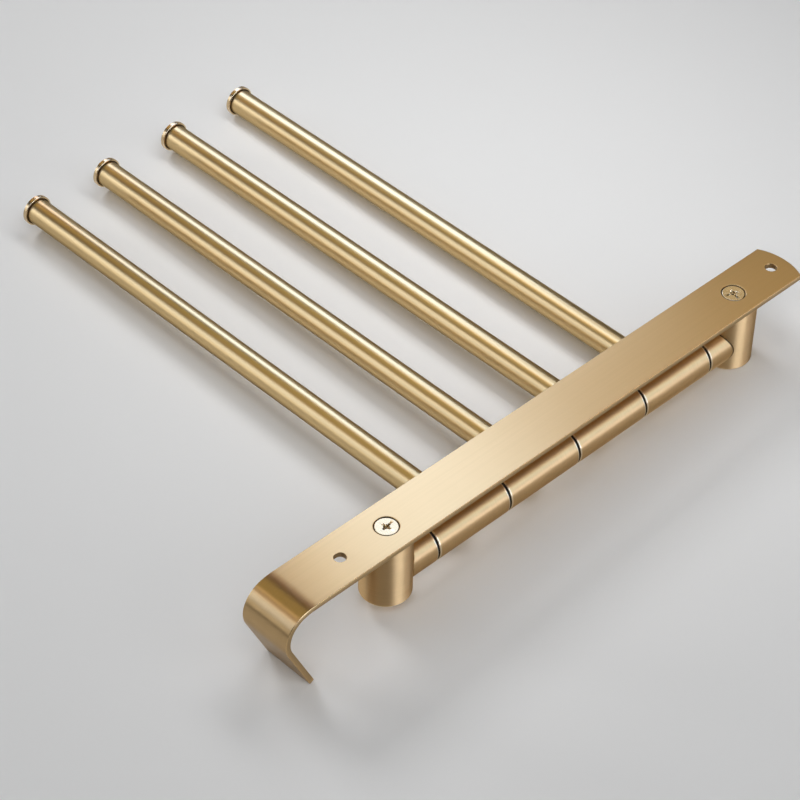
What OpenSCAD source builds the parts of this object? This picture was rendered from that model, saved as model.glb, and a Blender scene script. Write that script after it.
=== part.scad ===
// Swing arm towel bar for a wall.
// The plate's back face lies in the wall plane y = 0 and the bar stands out toward -Y.
// +Z is up along the plate, with the rounded end at the top and the hook at the bottom.
// The origin is on the back face, halfway between the two wall screw holes.
// The four arms are drawn folded to the right, along +X, flat beside the wall.

/* [Wall plate] */
// Width of the plate
plate_w = 25; // [20:0.5:40]
// Thickness of the plate
plate_t = 2.5; // [2.5:0.1:4]
// Chamfer along every long edge of the plate
plate_edge = 0.3; // [0.1:0.05:0.6]
// Height of the upper corners above the upper post's axis
plate_rise = 30.5; // [20:0.5:60]
// Radius of the arc that rounds off the upper end
end_arc_r = 26; // [21:0.5:60]
// Diameter of the holes for the wall screws
wall_hole_d = 5.2; // [3.5:0.1:6]
// Distance of each wall hole from the nearest post's axis
wall_hole_out = 25; // [16:0.5:26]

/* [Hook] */
// Length of flat plate below the lower post's axis, down to the bend
hook_drop = 52; // [30:0.5:90]
// Inner radius of the bend
hook_r = 10.5; // [5:0.5:25]
// Angle that the plate turns through
hook_turn = 115; // [95:1:140]
// Length of the straight tail past the bend
hook_tail = 26; // [10:0.5:45]

/* [Posts] */
// Diameter of the posts
post_d = 22; // [20:0.5:30]
// Reach of the posts from the wall to their front ends
post_reach = 35; // [33:0.5:60]
// Rounding of the posts' front edge
post_round = 1; // [0.2:0.1:2]

/* [Post screws] */
// Thread diameter of the countersunk screws that hold the posts
screw_d = 6; // [5:0.5:6]
// Diameter of the screw head
screw_head_d = 10.4; // [9.4:0.1:10.4]
// Depth of the head's top below the plate's back face
screw_sink = 0.2; // [0.1:0.05:0.2]
// Length of the screw, head included
screw_l = 16; // [10:0.5:16.5]
// Width across the head's cross recess
cross_w = 5.2; // [3:0.1:6]
// Width of one wing of the cross recess
cross_wing = 1.1; // [0.6:0.1:1.6]
// Depth of the cross recess at its centre
cross_deep = 1.9; // [1.3:0.1:2.2]
// Depth of the four wings of the cross recess
wing_deep = 1.2; // [0.6:0.1:1.3]

/* [Axle] */
// Distance of the axle's line from the wall
axle_out = 23.8; // [23.5:0.1:24.5]
// Diameter of the axle rod
axle_d = 8; // [6:0.5:8.5]
// Length of rod held past each post's axis
axle_hold = 5; // [2:0.5:6]

/* [Barrels] */
// Diameter of the hubs and collars on the axle
barrel_d = 17.8; // [16:0.2:19]
// Length of one hub
hub_l = 40.4; // [30:0.2:70]
// Chamfer on the barrels' ends
barrel_edge = 0.4; // [0.1:0.05:0.6]
// Length of a collar, where its saddle is deepest
collar_l = 10.2; // [4:0.2:20]
// Thickness of a friction washer
washer_t = 0.8; // [0.5:0.1:1.5]
// How far a washer's rim lies inside the barrels' surface
washer_inset = 0.6; // [0.4:0.1:1.5]

/* [Arms] */
// Length of an arm, from the axle's line to the cap's face
arm_l = 275; // [150:1:450]
// Outer diameter of the arm tube
tube_d = 12; // [10:0.5:14]
// Wall of the arm tube
tube_wall = 1; // [0.8:0.1:1.4]
// Diameter of the threaded spigot that screws into the hub
stud_d = 8; // [5:0.5:8.5]
// Length of the stud's plug inside the tube
plug_l = 16; // [8:0.5:40]
// Diameter of the cap's flange
cap_d = 14.5; // [14.2:0.1:18]
// Thickness of the cap's flange
cap_t = 2; // [1.6:0.1:4]
// Rounding of the cap's rim
cap_round = 0.6; // [0.2:0.1:0.7]
// Length of the cap's spigot inside the tube
cap_plug_l = 8; // [4:0.5:20]

/* [Fits] */
// Radial clearance of the hubs on the axle
run_gap = 0.05; // [0.02:0.01:0.1]
// Radial clearance of parts that are fixed together
seat_gap = 0.02; // [0.01:0.01:0.05]

/* [Hidden] */
$fn = 96;
arm_count = 4;
brass = "#c9a468";
brass_pale = "#d8bd86";
steel = "#a9abad";
black = "#1d1c1b";

// Everything on the axle is stacked between the two posts.
pitch = hub_l + washer_t;
stack_l = arm_count * pitch + washer_t;
post_z = stack_l / 2 + collar_l + post_d / 2;
wall_hole_z = post_z + wall_hole_out;
bend_z = post_z + hook_drop;
corner_z = post_z + plate_rise;
sagitta = end_arc_r - sqrt(end_arc_r * end_arc_r - plate_w * plate_w / 4);
apex_z = corner_z + sagitta;
tail_lap = 0.2;
tail_inset = 0.01;

screw_bore_d = screw_d + 2 * seat_gap;
tapped_end = screw_sink + screw_l + 1;
sink_mouth_d = screw_head_d + 2 * screw_sink + 2 * seat_gap;
head_h = (screw_head_d - screw_d) / 2;
cross_core_d = 3 * cross_wing;

washer_d = barrel_d - 2 * washer_inset;
rod_bore_d = axle_d + 2 * seat_gap;
hub_bore_d = axle_d + 2 * run_gap;
rod_l = 2 * (post_z + axle_hold);
tube_bore_d = tube_d - 2 * tube_wall;
spigot_d = tube_bore_d - 2 * seat_gap;
bore_wall = 0.6;
stud_bite = (barrel_d - hub_bore_d) / 2 - bore_wall;
through = 1;

// Height of arm i and of washer i, both counted from the hook upward
function arm_z(i) = (i - (arm_count + 1) / 2) * pitch;
function washer_z(i) = (i - 1 - arm_count / 2) * pitch;

// Turns a shape that is drawn along +Z so that it runs out from the wall, toward -Y
module from_wall(z, out = 0) {
    translate([0, -out, z]) rotate([90, 0, 0]) children();
}

// Turns a shape that is drawn along +Z so that it runs along +X from the axle
module along_arm(i, from = 0) {
    translate([from, -axle_out, arm_z(i)]) rotate([0, 90, 0]) children();
}

// Cross-section of the plate: its width along x and its thickness along -y, edges chamfered
module plate_section(inset = 0) {
    w = plate_w / 2 - inset;
    c = plate_edge;
    back = -inset;
    front = inset - plate_t;
    polygon([
        [-w + c, back], [w - c, back], [w, back - c], [w, front + c],
        [w - c, front], [-w + c, front], [-w, front + c], [-w, back - c]
    ]);
}

// The flat stretch, from the bend up past the rounded end
module plate_flat() {
    intersection() {
        translate([0, 0, -bend_z]) linear_extrude(bend_z + apex_z) plate_section();
        union() {
            from_wall(apex_z - end_arc_r, -through) cylinder(h = plate_t + 2 * through, r = end_arc_r);
            translate([-plate_w, -plate_t - through, -bend_z - through])
                cube([2 * plate_w, plate_t + 2 * through, bend_z + through + apex_z - end_arc_r]);
        }
    }
}

// The bend and its straight tail, swept about an axis in front of the plate.
// The tail starts a little inside the bend and is a hair thinner, so no faces of the two coincide.
module plate_hook() {
    bend_r = hook_r + plate_t;
    translate([0, -bend_r, -bend_z]) rotate([0, -90, 0]) rotate([0, 0, 90]) {
        rotate_extrude(angle = hook_turn, $fn = 144) hook_profile(bend_r);
        rotate([0, 0, hook_turn]) rotate([-90, 0, 0]) translate([0, 0, -tail_lap])
            linear_extrude(hook_tail + tail_lap) hook_profile(bend_r, tail_inset);
    }
}

// The plate's section turned for the sweep: thickness from the outer radius inward, width along y
module hook_profile(outer_r, inset = 0) {
    translate([outer_r, 0]) rotate(-90) plate_section(inset);
}

module wall_plate() {
    color(brass) difference() {
        union() {
            plate_flat();
            plate_hook();
        }
        for (side = [-1, 1]) {
            from_wall(side * wall_hole_z, -through) cylinder(h = plate_t + 2 * through, d = wall_hole_d);
            from_wall(side * post_z, -through) cylinder(h = plate_t + 2 * through, d = screw_bore_d);
            screw_countersink(side);
        }
    }
}

// The right-angled cone that takes a post screw's head, in the plate and in the post if it goes that deep
module screw_countersink(side) {
    reach = sink_mouth_d / 2;
    from_wall(side * post_z, -through) cylinder(h = reach + through, r1 = reach + through, r2 = 0);
}

// A post on the plate, side = -1 for the lower one and 1 for the upper one
module post(side) {
    depth = post_reach - plate_t;
    r = post_d / 2;
    color(brass) difference() {
        from_wall(side * post_z, plate_t) rotate_extrude() {
            square([r - post_round, depth]);
            square([r, depth - post_round]);
            translate([r - post_round, depth - post_round]) intersection() {
                circle(post_round, $fn = 48);
                square(post_round);
            }
        }
        from_wall(side * post_z, plate_t - through)
            cylinder(h = tapped_end - plate_t + through, d = screw_bore_d);
        screw_countersink(side);
        translate([0, -axle_out, side * post_z]) rotate([side > 0 ? 180 : 0, 0, 0])
            translate([0, 0, -axle_hold - seat_gap]) cylinder(h = r + axle_hold + through, d = rod_bore_d);
    }
}

// A countersunk screw from the back of the plate into a post
module post_screw(side) {
    color(brass_pale) from_wall(side * post_z, screw_sink) difference() {
        union() {
            cylinder(h = head_h, d1 = screw_head_d, d2 = screw_d);
            cylinder(h = screw_l, d = screw_d);
        }
        for (turn = [0, 90]) rotate(turn) translate([-cross_w / 2, -cross_wing / 2, -through])
            cube([cross_w, cross_wing, wing_deep + through]);
        translate([0, 0, -through]) cylinder(h = cross_deep + through, d1 = cross_core_d, d2 = cross_wing);
    }
}

module axle_rod() {
    color(steel) translate([0, -axle_out, -rod_l / 2]) cylinder(h = rod_l, d = axle_d);
}

// A round barrel on the axle with chamfered ends, its bottom at z
module barrel(z, length, bore) {
    r = barrel_d / 2;
    c = barrel_edge;
    translate([0, -axle_out, z]) rotate_extrude() polygon([
        [bore / 2, 0], [r - c, 0], [r, c], [r, length - c], [r - c, length], [bore / 2, length]
    ]);
}

// A fixed collar between a post and the nearest washer, its far end cut to saddle the post
module collar(side) {
    length = collar_l + post_d / 2;
    color(brass) difference() {
        barrel(side > 0 ? stack_l / 2 : -stack_l / 2 - length, length, rod_bore_d);
        from_wall(side * post_z) cylinder(h = 2 * axle_out, d = post_d + 2 * seat_gap);
    }
}

module washer(i) {
    color(black) translate([0, -axle_out, washer_z(i) - washer_t / 2]) difference() {
        cylinder(h = washer_t, d = washer_d);
        translate([0, 0, -through]) cylinder(h = washer_t + 2 * through, d = hub_bore_d);
    }
}

// A turning hub with the tapped hole for its arm's stud
module arm_hub(i) {
    color(brass) difference() {
        barrel(arm_z(i) - hub_l / 2, hub_l, hub_bore_d);
        along_arm(i) cylinder(h = barrel_d, d = stud_d + 2 * seat_gap);
    }
}

// The stud that joins an arm to its hub: a threaded end and a plug that fills the tube's end
module arm_stud(i) {
    color(steel) {
        along_arm(i, barrel_d / 2 - stud_bite) cylinder(h = stud_bite + seat_gap + 1, d = stud_d);
        along_arm(i, barrel_d / 2 + seat_gap) cylinder(h = plug_l, d = spigot_d);
    }
}

// An arm's tube, its inner end cut to saddle the hub
module arm_tube(i) {
    color(brass) difference() {
        along_arm(i) cylinder(h = arm_l - cap_t, d = tube_d);
        along_arm(i, -through) cylinder(h = arm_l + through, d = tube_bore_d);
        translate([0, -axle_out, arm_z(i) - barrel_d])
            cylinder(h = 2 * barrel_d, d = barrel_d + 2 * seat_gap);
    }
}

// The cap on an arm's free end: a flange with a rounded rim and a spigot in the tube
module arm_cap(i) {
    r = cap_d / 2;
    color(brass_pale) {
        along_arm(i, arm_l - cap_t) rotate_extrude() {
            translate([0, cap_round]) square([r, cap_t - 2 * cap_round]);
            square([r - cap_round, cap_t]);
            for (y = [cap_round, cap_t - cap_round])
                translate([r - cap_round, y]) circle(cap_round, $fn = 48);
        }
        along_arm(i, arm_l - cap_t - cap_plug_l) cylinder(h = cap_plug_l + cap_t / 2, d = spigot_d);
    }
}

wall_plate();
post(-1);  // lower_post
post(1);  // upper_post
post_screw(-1);  // lower_post_screw
post_screw(1);  // upper_post_screw
axle_rod();
collar(-1);  // lower_collar
collar(1);  // upper_collar
washer(1);  // washer_1
washer(2);  // washer_2
washer(3);  // washer_3
washer(4);  // washer_4
washer(5);  // washer_5
arm_hub(1);  // arm_1_hub
arm_hub(2);  // arm_2_hub
arm_hub(3);  // arm_3_hub
arm_hub(4);  // arm_4_hub
arm_stud(1);  // arm_1_stud
arm_stud(2);  // arm_2_stud
arm_stud(3);  // arm_3_stud
arm_stud(4);  // arm_4_stud
arm_tube(1);  // arm_1_tube
arm_tube(2);  // arm_2_tube
arm_tube(3);  // arm_3_tube
arm_tube(4);  // arm_4_tube
arm_cap(1);  // arm_1_cap
arm_cap(2);  // arm_2_cap
arm_cap(3);  // arm_3_cap
arm_cap(4);  // arm_4_cap
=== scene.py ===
import math

import bmesh
import bpy
import numpy as np
from mathutils import Matrix, Vector


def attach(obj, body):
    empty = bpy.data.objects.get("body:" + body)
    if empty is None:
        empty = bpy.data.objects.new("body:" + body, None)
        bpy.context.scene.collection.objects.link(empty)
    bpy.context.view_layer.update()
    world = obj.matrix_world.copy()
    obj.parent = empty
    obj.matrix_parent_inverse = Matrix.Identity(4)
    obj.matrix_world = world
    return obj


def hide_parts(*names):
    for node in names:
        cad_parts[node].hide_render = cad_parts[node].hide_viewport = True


# Looks of the swing arm towel bar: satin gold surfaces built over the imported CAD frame, in metres.
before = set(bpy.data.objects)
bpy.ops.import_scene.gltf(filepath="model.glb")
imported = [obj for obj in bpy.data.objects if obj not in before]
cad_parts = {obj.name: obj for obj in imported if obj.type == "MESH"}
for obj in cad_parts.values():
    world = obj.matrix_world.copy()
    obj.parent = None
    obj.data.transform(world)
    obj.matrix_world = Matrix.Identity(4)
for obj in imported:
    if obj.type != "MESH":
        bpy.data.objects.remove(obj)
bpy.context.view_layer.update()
MM = 0.001

# Sizes, the same as the CAD model's
PLATE_W = 25 * MM
PLATE_T = 2.5 * MM
END_ARC_R = 26 * MM
CORNER_Z = 134.5 * MM
WALL_HOLE_R = 2.6 * MM
WALL_HOLE_Z = 129 * MM
POST_Z = 104 * MM
POST_R = 11 * MM
POST_REACH = 35 * MM
POST_ROUND = 1 * MM
SINK_MOUTH_R = 5.42 * MM
SCREW_BORE_R = 3.02 * MM
SCREW_SINK = 0.2 * MM
SCREW_HEAD_R = 5.2 * MM
SCREW_R = 3 * MM
SCREW_L = 16 * MM
BEND_Z = -156 * MM
BEND_R = 13 * MM
BEND_TURN = math.radians(115)
TAIL_L = 26 * MM
AXLE_OUT = 23.8 * MM
ARM_COUNT = 4
BARREL_R = 8.9 * MM
BARREL_EDGE = 0.4 * MM
HUB_L = 40.4 * MM
WASHER_T = 0.8 * MM
BORE_R = 4.05 * MM
TUBE_R = 6 * MM
TUBE_BORE_R = 5 * MM
ARM_L = 275 * MM
CAP_R = 7.25 * MM
CAP_T = 2 * MM
CAP_ROUND = 0.25 * MM
CAP_PLUG_R = 4.98 * MM
CAP_PLUG_L = 8 * MM
SEAT_GAP = 0.02 * MM

# Forms finer than the CAD model's: softened edges, the eased bend, the caps' dish and a running gap.
# Values by side are for the lower end, -1, and the upper end, 1.
PLATE_EDGE = 0.3 * MM
HOLE_EDGE = 0.12 * MM
SINK_EDGE = 0.22 * MM
TURNED_EDGE = 0.12 * MM
BEND_EASE_IN = 11 * MM
BEND_EASE_OUT = 4 * MM
BEND_TIGHT_R = 12.6 * MM
RUN_GAP = 0.01 * MM
TUBE_EDGE = 0.15 * MM
TUBE_SADDLE_L = 30 * MM
CAP_RIM_W = 1.2 * MM
CAP_SLOPE_W = 0.3 * MM
CAP_DISH = 0.2 * MM
CAP_DISH_ROUND = 0.1 * MM
CAP_PLUG_ROUND = 0.3 * MM
SCREW_FACE_IN = 0.5 * MM
SCREW_HEAD_ROUND = 0.2 * MM
SCREW_TIP_ROUND = 0.3 * MM
SCREW_SPIN = {-1: math.radians(-7), 1: math.radians(17)}

# Cross recess in a screw head. An outline is half the wings' span, half their width and the core's
# radius. The lip's rows are shares of RECESS_SOFT, sunk and grown, with a mark: a mark of 1 paints the
# lip's edge paler, a painted highlight with rubbed wear. Below the lip are outlines with their depths,
# which narrow to a point.
WING_ANGLE = 0.2
RECESS_MOUTH = np.array([2.2, 0.55, 1.3]) * MM
RECESS_SOFT = 0.09 * MM
RECESS_LIP = ((0, 1, 0), (0.25, 0.35, 1), (1, 0, 0))
RECESS_BELOW = np.array([
    [1.95, 0.36, 0.85, 1.15], [0.85, 0.36, 0.8, 1.2], [0, 0, 0.45, 1.8], [0, 0, 0, 1.95]]) * MM

# Marks that the gold finish reads: above 0 a painted highlight with rubbed wear, paler up to 1,
# and below 0 a painted shade, dark down to -1 in seams, gaps and holes, on the plate's side and on the tail
BACK_EDGE_HIGHLIGHT_AND_WEAR = 0.4
SIDE_SHADE = -0.42
TAIL_SHADE = -0.15
TAIL_SHADE_FROM = math.radians(50)
TAIL_SHADE_OVER = math.radians(15)
HOLE_SHADE = -0.6
WALL_FROM = 0.9
PAINTED_SHADE_DEPTH = 0.12 * MM
SEAM_DARK_R = 8.66 * MM
RIM_BRIGHT = 0.3 * MM
RIM_STEP = 0.03 * MM
MARK_FADE = 0.15 * MM
GAP_SHADE = {-1: -0.2, 1: -0.9}
GAP_SHADE_FROM = 0.62 * MM
GAP_SHADE_FULL = 0.45 * MM
CAP_DARK_R = 6.5 * MM

# Heights that cut the plate's flat into fields: one over the bend, the others round or between the holes
BEND_FIELD_TOP = -141 * MM
POST_FIELD_IN = 91 * MM
POST_FIELD_OUT = 117 * MM

# Fineness of the meshes, in points along or round each stretch, and in metres
FIELD_POINTS = (4, 13, 14, 29, 14, 11)
CORNER_STEP = 0.3 * MM
ARC_POINTS = 27
ARC_SHARE = 0.975
ACROSS_POINTS = 13
RING_POINTS = 5
BEND_SAMPLES = 2001
BEND_STEPS = 72
TAIL_POINTS = 9
TUBE_ANGLES = np.linspace(0, 2 * np.pi, 97)
BARREL_ANGLES = np.linspace(0, 2 * np.pi, 129)
POST_EDGE_STEPS = 8
HOLE_EDGE_STEPS = 4
WING_POINTS = 9
FLANK_POINTS = 8
COLLAR_POINTS = 6
COLLAR_FROM = 0.3 * MM
COLLAR_TO = 1.2 * MM
SADDLE_POINTS = 9
TUBE_FROM = 0.4 * MM
TUBE_POINTS = 24
TUBE_SADDLE_POINTS = 16
FLAT_FACE_WEIGHT = 80

# Points nearer than WELD are joined, and a difference below TINY counts as none
WELD = 2e-7
TINY = 1e-7

# Camera, from the perspective of the photograph
CAMERA_AT = (-0.55381, 0.77646, -0.65049)
CAMERA_AIM = (0.06469, -0.02000, -0.03339)
CAMERA_ROLL = math.radians(1.1988)
CAMERA_LENS = 125.768
CAMERA_SENSOR = 36
CAMERA_NEAR = 0.05
CAMERA_FAR = 30


def new_object(name, data):
    """A new object in the scene."""
    made = bpy.data.objects.new(name, data)
    bpy.context.scene.collection.objects.link(made)
    return made


def set_camera():
    """Looks from CAMERA_AT to CAMERA_AIM with +Y upward in the picture, then rolls by CAMERA_ROLL."""
    at = Vector(CAMERA_AT)
    ahead = (Vector(CAMERA_AIM) - at).normalized()
    right = ahead.cross(Vector((0, 1, 0))).normalized()
    up = right.cross(ahead)
    turned_right = right * math.cos(CAMERA_ROLL) + up * math.sin(CAMERA_ROLL)
    turned_up = turned_right.cross(ahead)
    lens = bpy.data.cameras.new("camera")
    lens.lens = CAMERA_LENS
    lens.sensor_width = CAMERA_SENSOR
    lens.clip_start = CAMERA_NEAR
    lens.clip_end = CAMERA_FAR
    camera = new_object("camera", lens)
    axes = Matrix((turned_right, turned_up, -ahead)).transposed().to_4x4()
    camera.matrix_world = Matrix.Translation(at) @ axes
    bpy.context.scene.camera = camera


def grid_quads(rows, columns, first):
    """Quads between the neighbours of a grid of rows by columns points, numbered row by row from first."""
    row, column = np.meshgrid(np.arange(rows - 1), np.arange(columns - 1), indexing="ij")
    corner = first + row * columns + column
    return np.stack([corner, corner + 1, corner + columns + 1, corner + columns], -1).reshape(-1, 4)


def build_piece(node, body, patches, material):
    """The surface that replaces a CAD node: one closed mesh from several grids. Each patch holds points
    (rows, columns, 3), their distances across and along the finishing lines in metres (rows, columns, 2),
    and their marks, by row or by point. Borders that meet are welded, and the faces are turned outward."""
    name = node + "_surface"
    points = np.concatenate([p.reshape(-1, 3) for p, _, _ in patches])
    lines = np.concatenate([u.reshape(-1, 2) for _, u, _ in patches])
    edge = np.concatenate([np.broadcast_to(e, p.shape[:2]).ravel() for p, _, e in patches])
    grids = [p.shape[:2] for p, _, _ in patches]
    starts = np.cumsum([0] + [rows * columns for rows, columns in grids[:-1]])
    quads = np.concatenate([grid_quads(*grid, start) for grid, start in zip(grids, starts)])
    mesh = bpy.data.meshes.new(name)
    mesh.from_pydata(points, [], quads)
    corner_of = np.empty(len(mesh.loops), np.int32)
    mesh.loops.foreach_get("vertex_index", corner_of)
    mesh.uv_layers.new(name="metres").data.foreach_set("uv", lines[corner_of].astype(np.float32).ravel())
    mesh.attributes.new("edge", "FLOAT", "POINT").data.foreach_set("value", edge.astype(np.float32))
    work = bmesh.new()
    work.from_mesh(mesh)
    bmesh.ops.remove_doubles(work, verts=work.verts, dist=WELD)
    bmesh.ops.recalc_face_normals(work, faces=work.faces)
    work.to_mesh(mesh)
    work.free()
    mesh.polygons.foreach_set("use_smooth", np.ones(len(mesh.polygons), bool))
    mesh.materials.append(material)
    piece = new_object(name, mesh)
    level = piece.modifiers.new("flat faces stay flat", "WEIGHTED_NORMAL")
    level.weight = FLAT_FACE_WEIGHT
    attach(piece, body)
    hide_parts(node)


def paired(*columns):
    """Points from their coordinates, given as arrays or, where all points share one, as a number."""
    return np.stack(np.broadcast_arrays(*columns), -1)


def softened(corners, radii, steps=6):
    """A polyline with each corner replaced by an arc. At a corner the line turns by an angle t, so the
    arc of radius r starts r * tan(t / 2) before the corner and ends as far behind it. Returns the
    points and, for each, how far it lies on an edge: 0 at both ends of an arc and 1 in its middle."""
    corners = np.asarray(corners, float)
    radii = np.asarray(radii, float)[:, None]
    before = np.diff(corners, axis=0, prepend=2 * corners[:1] - corners[1:2])
    after = np.diff(corners, axis=0, append=2 * corners[-1:] - corners[-2:-1])
    before /= np.linalg.norm(before, axis=1, keepdims=True)
    after /= np.linalg.norm(after, axis=1, keepdims=True)
    sine = before[:, 0] * after[:, 1] - before[:, 1] * after[:, 0]
    turn = np.arctan2(sine, (before * after).sum(1))[:, None]
    start = corners - before * radii * np.tan(np.abs(turn) / 2)
    inward = paired(-before[:, 1], before[:, 0]) * np.where(turn < 0, -1, 1)
    share = np.linspace(0, 1, steps + 1)[None, :]
    angle = np.abs(turn) * share
    arc = start[:, None] + radii[:, :, None] * (
        np.sin(angle)[..., None] * before[:, None] + (1 - np.cos(angle))[..., None] * inward[:, None])
    edge = 4 * share * (1 - share) * (radii > 0)
    return arc.reshape(-1, 2), edge.reshape(-1)


def travelled(points):
    """Distance along a row of points, from its first one."""
    steps = np.linalg.norm(np.diff(points, axis=0), axis=1)
    return np.concatenate([[0], np.cumsum(steps)])


def crossed(down, across):
    """A grid of pairs, the first number from down by the row and the second from across by the column."""
    return paired(down[:, None], across)


def turned(profile, edge, a, saddle=None, saddle_from=0.0, rings=True):
    """A surface of revolution: at each angle a the profile point (r, h) goes to (r cos a, r sin a, h).
    With a saddle radius S, the end at the greatest h follows a round bar of radius S that crosses it
    along the local x: heights above saddle_from are stretched so that the end lies at
    h_end + S - sqrt(S^2 - (r sin a)^2). With rings the finishing lines run round the axis, and
    otherwise along the profile."""
    r, h = profile[:, 0], profile[:, 1]
    x, y = np.outer(r, np.cos(a)), np.outer(r, np.sin(a))
    z = h[:, None]
    if saddle:
        share = np.clip((z - saddle_from) / (h.max() - saddle_from), 0, 1)
        z = z + share * (saddle - np.sqrt(saddle ** 2 - y ** 2))
    lines = crossed(travelled(profile), a * r.max())
    return paired(x, y, z), lines if rings else lines[..., ::-1], edge[:, None]


def placed(patch, origin, x_axis, y_axis, z_axis):
    """Moves a patch from its local axes to the frame: origin + x * x_axis + y * y_axis + z * z_axis."""
    points, lines, edge = patch
    return points @ np.array([x_axis, y_axis, z_axis], float) + np.array(origin, float), lines, edge


# The plate's rounded edge from the back face to the front face: how far its points stand out, as a share
# of PLATE_EDGE, how deep they lie below the back face, and their marks: the back rounding is painted paler,
# a painted highlight with rubbed wear, and the side is painted darker toward the front face, a painted
# shade that fades out over the front rounding
QUARTER = np.linspace(0, np.pi / 2, 5)
ROUNDED = QUARTER / QUARTER[-1]
EDGE_OUT = np.concatenate([np.sin(QUARTER), np.cos(QUARTER)])
EDGE_DEPTH = np.concatenate([PLATE_EDGE * (1 - np.cos(QUARTER)),
                             PLATE_T - PLATE_EDGE + PLATE_EDGE * np.sin(QUARTER)])
EDGE_MARK = np.concatenate([4 * BACK_EDGE_HIGHLIGHT_AND_WEAR * ROUNDED * (1 - ROUNDED), SIDE_SHADE * (1 - ROUNDED ** 2)])

# The flat inside that edge: half its width, the points across it, and the arc at its upper end
INSET_W = PLATE_W / 2 - PLATE_EDGE
ACROSS = np.linspace(-INSET_W, INSET_W, ACROSS_POINTS)
ARC_CENTRE_Z = CORNER_Z - math.sqrt(END_ARC_R ** 2 - (PLATE_W / 2) ** 2)
INNER_ARC_R = END_ARC_R - PLATE_EDGE
INNER_CORNER_Z = ARC_CENTRE_Z + math.sqrt(INNER_ARC_R ** 2 - INSET_W ** 2)


def bend_path():
    """The back face's line from the flat round the bend to the tail's end, as y, z and the angle turned,
    and its start height. The curvature rises evenly from 0 to 1 / BEND_TIGHT_R over BEND_EASE_IN, stays
    there, and falls evenly over BEND_EASE_OUT, and the angle is its sum. The start height is the one that
    brings the tail onto the line that a plain arc of radius BEND_R from BEND_Z would give."""
    round_l = BEND_TURN * BEND_TIGHT_R - (BEND_EASE_IN + BEND_EASE_OUT) / 2
    bend_l = BEND_EASE_IN + round_l + BEND_EASE_OUT
    s = np.linspace(0, bend_l, BEND_SAMPLES)
    curvature = np.clip(np.minimum(s / BEND_EASE_IN, (bend_l - s) / BEND_EASE_OUT), 0, 1) / BEND_TIGHT_R
    gap = s[1] - s[0]
    angle = np.concatenate([[0], np.cumsum((curvature[1:] + curvature[:-1]) / 2 * gap)])
    angle *= BEND_TURN / angle[-1]
    middle = (angle[1:] + angle[:-1]) / 2
    y = np.concatenate([[0], np.cumsum(-np.sin(middle) * gap)])
    z = np.concatenate([[0], np.cumsum(-np.cos(middle) * gap)])
    sin_t, cos_t = math.sin(BEND_TURN), math.cos(BEND_TURN)
    arc_end = np.array([-BEND_R * (1 - cos_t), BEND_Z - BEND_R * sin_t])
    tip = arc_end + TAIL_L * np.array([-sin_t, -cos_t])
    start_z = tip[1] - z[-1] + (y[-1] - tip[0]) * cos_t / sin_t
    z = z + start_z
    pick = np.linspace(0, len(s) - 1, BEND_STEPS + 1).astype(int)
    tail_l = math.hypot(tip[0] - y[-1], tip[1] - z[-1]) - PLATE_EDGE
    tail = np.linspace(0, tail_l, TAIL_POINTS)[1:]
    y = np.concatenate([y[pick], y[-1] - tail * sin_t])
    z = np.concatenate([z[pick], z[-1] - tail * cos_t])
    return y, z, np.concatenate([angle[pick], np.full(len(tail), BEND_TURN)]), start_z


def plate_section():
    """The closed outline of the plate's section, as core points, unit directions and marks: a point of
    the outline inset by i is core + (PLATE_EDGE - i) * direction. It runs across the back, round one side,
    across the front and round the other side. Columns are x and the depth below the back face."""
    zero = np.zeros_like(ACROSS)
    side_depth = np.repeat([PLATE_EDGE, PLATE_T - PLATE_EDGE], len(QUARTER))
    side_core = paired(INSET_W, side_depth)
    side_turn = paired(EDGE_OUT, np.concatenate([-np.cos(QUARTER), np.sin(QUARTER)]))
    mirror = np.array([-1, 1])
    core = np.concatenate([paired(ACROSS, PLATE_EDGE), side_core,
                           paired(ACROSS[::-1], PLATE_T - PLATE_EDGE), side_core[::-1] * mirror])
    turn = np.concatenate([paired(zero, -1), side_turn, paired(zero, 1), side_turn[::-1] * mirror])
    mark = np.concatenate([zero, EDGE_MARK, zero, EDGE_MARK[::-1]])
    close = np.arange(len(core) + 1) % len(core)
    return core[close], turn[close], mark[close]


def ring_patch(outline, centre_z, hole_r, depth):
    """Flat ground between a hole and the outline round it. Each outline point is joined to the hole's
    rim by a straight line toward the centre: (1 - t) * rim + t * outline, with t from 0 to 1."""
    centre = np.array([0, centre_z])
    offset = outline - centre
    rim = hole_r * offset / np.linalg.norm(offset, axis=1, keepdims=True)
    t = np.linspace(0, 1, RING_POINTS)[:, None, None]
    flat = centre + (1 - t) * rim + t * offset
    return paired(flat[..., 0], -depth, flat[..., 1]), flat, 0


def hole_wall(outline, centre_z, profile, mark):
    """A hole's wall under the same rim points: the profile point (r, depth) goes round the hole's axis."""
    offset = outline - np.array([0, centre_z])
    unit = offset / np.linalg.norm(offset, axis=1, keepdims=True)
    points = paired(profile[:, :1] * unit[:, 0], -profile[:, 1:], centre_z + profile[:, :1] * unit[:, 1])
    return points, crossed(profile[:, 1], travelled(outline)), mark[:, None]


def plain_hole():
    """A wall hole's profile from back to front, as radius and depth, with rims painted paler, a painted
    highlight with rubbed wear, and a wall painted dark, a painted shade.
    """
    mouth_r = WALL_HOLE_R + HOLE_EDGE * 2
    wall, mark = softened([[mouth_r, 0], [WALL_HOLE_R, 0], [WALL_HOLE_R, PLATE_T], [mouth_r, PLATE_T]],
                          [0, HOLE_EDGE, HOLE_EDGE, 0], HOLE_EDGE_STEPS)
    inside = (wall[:, 1] > HOLE_EDGE * WALL_FROM) & (wall[:, 1] < PLATE_T - HOLE_EDGE * WALL_FROM)
    return wall, np.where(inside, HOLE_SHADE, mark)


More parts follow.
